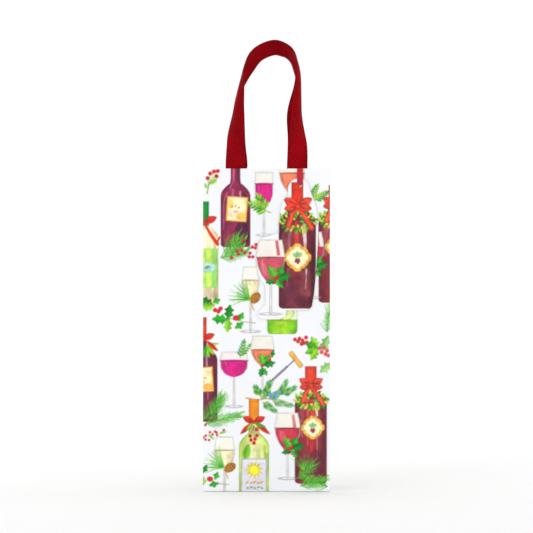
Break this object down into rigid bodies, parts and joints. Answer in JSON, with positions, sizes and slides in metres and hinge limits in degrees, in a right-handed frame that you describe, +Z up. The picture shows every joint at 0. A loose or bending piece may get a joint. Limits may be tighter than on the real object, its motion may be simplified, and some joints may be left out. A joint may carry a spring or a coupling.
{
  "type": "wine gift bag",
  "caption": "Tall square-bottomed printed paper carrier for a wine bottle, with folding gussets, twisted webbing handles, a loose base board and a die-cut card tag on a ribbon.",
  "frame": {"origin": "middle of the base, on the resting surface", "axes": "+Z up, -Y out of the front panel, +X to the right of someone facing the front"},
  "size_m": [0.127, 0.1234, 0.4552],
  "materials": {
    "printed_paper": "gloss",
    "grey_card": "matte",
    "red_webbing": "woven",
    "red_satin": "satin",
    "tag_card": "gloss"
  },
  "bodies": {
    "back_wall": {"back_panel": "printed_paper", "back_hem": "printed_paper", "back_card": "grey_card", "side_seam_flap": "printed_paper", "back_anchor_left": "red_webbing", "back_anchor_right": "red_webbing"},
    "gusset_right_rear_panel": {"gusset_right_rear": "printed_paper", "hem_right_rear": "printed_paper"},
    "gusset_right_front_panel": {"gusset_right_front": "printed_paper", "hem_right_front": "printed_paper"},
    "gusset_left_rear_panel": {"gusset_left_rear": "printed_paper", "hem_left_rear": "printed_paper"},
    "gusset_left_front_panel": {"gusset_left_front": "printed_paper", "hem_left_front": "printed_paper"},
    "front_wall": {"front_panel": "printed_paper", "front_hem": "printed_paper", "front_card": "grey_card", "front_anchor_left": "red_webbing", "front_anchor_right": "red_webbing", "ribbon_tuck": "red_satin"},
    "back_strip": {"back_base_strip": "printed_paper"},
    "base": {"bottom_back_flap": "printed_paper", "bottom_front_flap": "printed_paper", "bottom_left_flap": "printed_paper", "bottom_right_flap": "printed_paper"},
    "corner_right_fold": {"corner_right": "printed_paper"},
    "corner_left_fold": {"corner_left": "printed_paper"},
    "triangle_right_fold": {"triangle_right": "printed_paper"},
    "triangle_left_fold": {"triangle_left": "printed_paper"},
    "front_loop": {"front_handle": "red_webbing"},
    "back_loop": {"back_handle": "red_webbing"},
    "ribbon": {"tag_ribbon": "red_satin"},
    "hang_tag": {"gift_tag": "tag_card"},
    "board": {"bottom_board": "grey_card"}
  },
  "joints": [
    {"name": "fold_flat", "type": "hinge", "parent": "back_wall", "child": "gusset_right_rear_panel", "pos_m": [0.0632, 0.0447, 0], "axis": [0, 0, 1], "range_deg": [-82, 0]},
    {"name": "crease_right_middle", "type": "hinge", "parent": "gusset_right_rear_panel", "child": "gusset_right_front_panel", "pos_m": [0.0635, 0, 0], "axis": [0, 0, 1], "range_deg": [0, 164]},
    {"name": "crease_left_rear", "type": "hinge", "parent": "back_wall", "child": "gusset_left_rear_panel", "pos_m": [-0.0632, 0.0447, 0], "axis": [0, 0, 1], "range_deg": [0, 82]},
    {"name": "crease_left_middle", "type": "hinge", "parent": "gusset_left_rear_panel", "child": "gusset_left_front_panel", "pos_m": [-0.0635, 0, 0], "axis": [0, 0, 1], "range_deg": [-164, 0]},
    {"name": "crease_left_front", "type": "hinge", "parent": "gusset_left_front_panel", "child": "front_wall", "pos_m": [-0.0632, -0.0447, 0], "axis": [0, 0, 1], "range_deg": [0, 82]},
    {"name": "crease_back", "type": "hinge", "parent": "back_wall", "child": "back_strip", "pos_m": [0, 0.045, 0.0465], "axis": [1, 0, 0], "range_deg": [0, 136.89]},
    {"name": "crease_base", "type": "hinge", "parent": "back_strip", "child": "base", "pos_m": [0, 0.0447, 0.0015], "axis": [1, 0, 0], "range_deg": [-76.6, 0]},
    {"name": "crease_corner_right", "type": "hinge", "parent": "back_strip", "child": "corner_right_fold", "pos_m": [0.0632, 0.0447, 0], "axis": [0, 0, 1], "range_deg": [-86.1, 0], "deforming": ["corner_right"]},
    {"name": "crease_corner_left", "type": "hinge", "parent": "back_strip", "child": "corner_left_fold", "pos_m": [-0.0632, 0.0447, 0], "axis": [0, 0, 1], "range_deg": [0, 86.1], "deforming": ["corner_left"]},
    {"name": "crease_triangle_right", "type": "hinge", "parent": "base", "child": "triangle_right_fold", "pos_m": [0.0632, 0, 0.0015], "axis": [0, 1, 0], "range_deg": [-86.1, 0]},
    {"name": "crease_triangle_left", "type": "hinge", "parent": "base", "child": "triangle_left_fold", "pos_m": [-0.0632, 0, 0.0015], "axis": [0, 1, 0], "range_deg": [0, 86.1]},
    {"name": "front_handle_lean", "type": "hinge", "parent": "front_wall", "child": "front_loop", "pos_m": [0, -0.043, 0.324], "axis": [-1, 0, 0], "range_deg": [-75, 20], "stiffness_Nm_per_rad": 0.015},
    {"name": "back_handle_lean", "type": "hinge", "parent": "back_wall", "child": "back_loop", "pos_m": [0, 0.043, 0.324], "axis": [1, 0, 0], "range_deg": [-75, 20], "stiffness_Nm_per_rad": 0.015},
    {"name": "ribbon_lift", "type": "hinge", "parent": "front_wall", "child": "ribbon", "pos_m": [0.0335, -0.04515, 0.32305], "axis": [-1, 0, 0], "range_deg": [0, 60]},
    {"name": "tag_sway", "type": "hinge", "parent": "ribbon", "child": "hang_tag", "pos_m": [0.0335, -0.046, 0.306], "axis": [0, 1, 0], "range_deg": [-20, 20]},
    {"name": "board_lift", "type": "slide", "parent": "base", "child": "board", "axis": [0, 0, 1], "range_m": [0, 0.22]}
  ],
  "couplings": [
    {"joint": "crease_right_middle", "follows": "fold_flat", "ratio": -2},
    {"joint": "crease_left_rear", "follows": "fold_flat", "ratio": -1},
    {"joint": "crease_left_middle", "follows": "fold_flat", "ratio": 2},
    {"joint": "crease_left_front", "follows": "fold_flat", "ratio": -1},
    {"joint": "crease_back", "follows": "fold_flat", "ratio": -1.6694},
    {"joint": "crease_base", "follows": "fold_flat", "ratio": 0.9342},
    {"joint": "crease_corner_right", "follows": "fold_flat", "ratio": 1.05},
    {"joint": "crease_corner_left", "follows": "fold_flat", "ratio": -1.05},
    {"joint": "crease_triangle_right", "follows": "fold_flat", "ratio": 1.05},
    {"joint": "crease_triangle_left", "follows": "fold_flat", "ratio": -1.05}
  ]
}
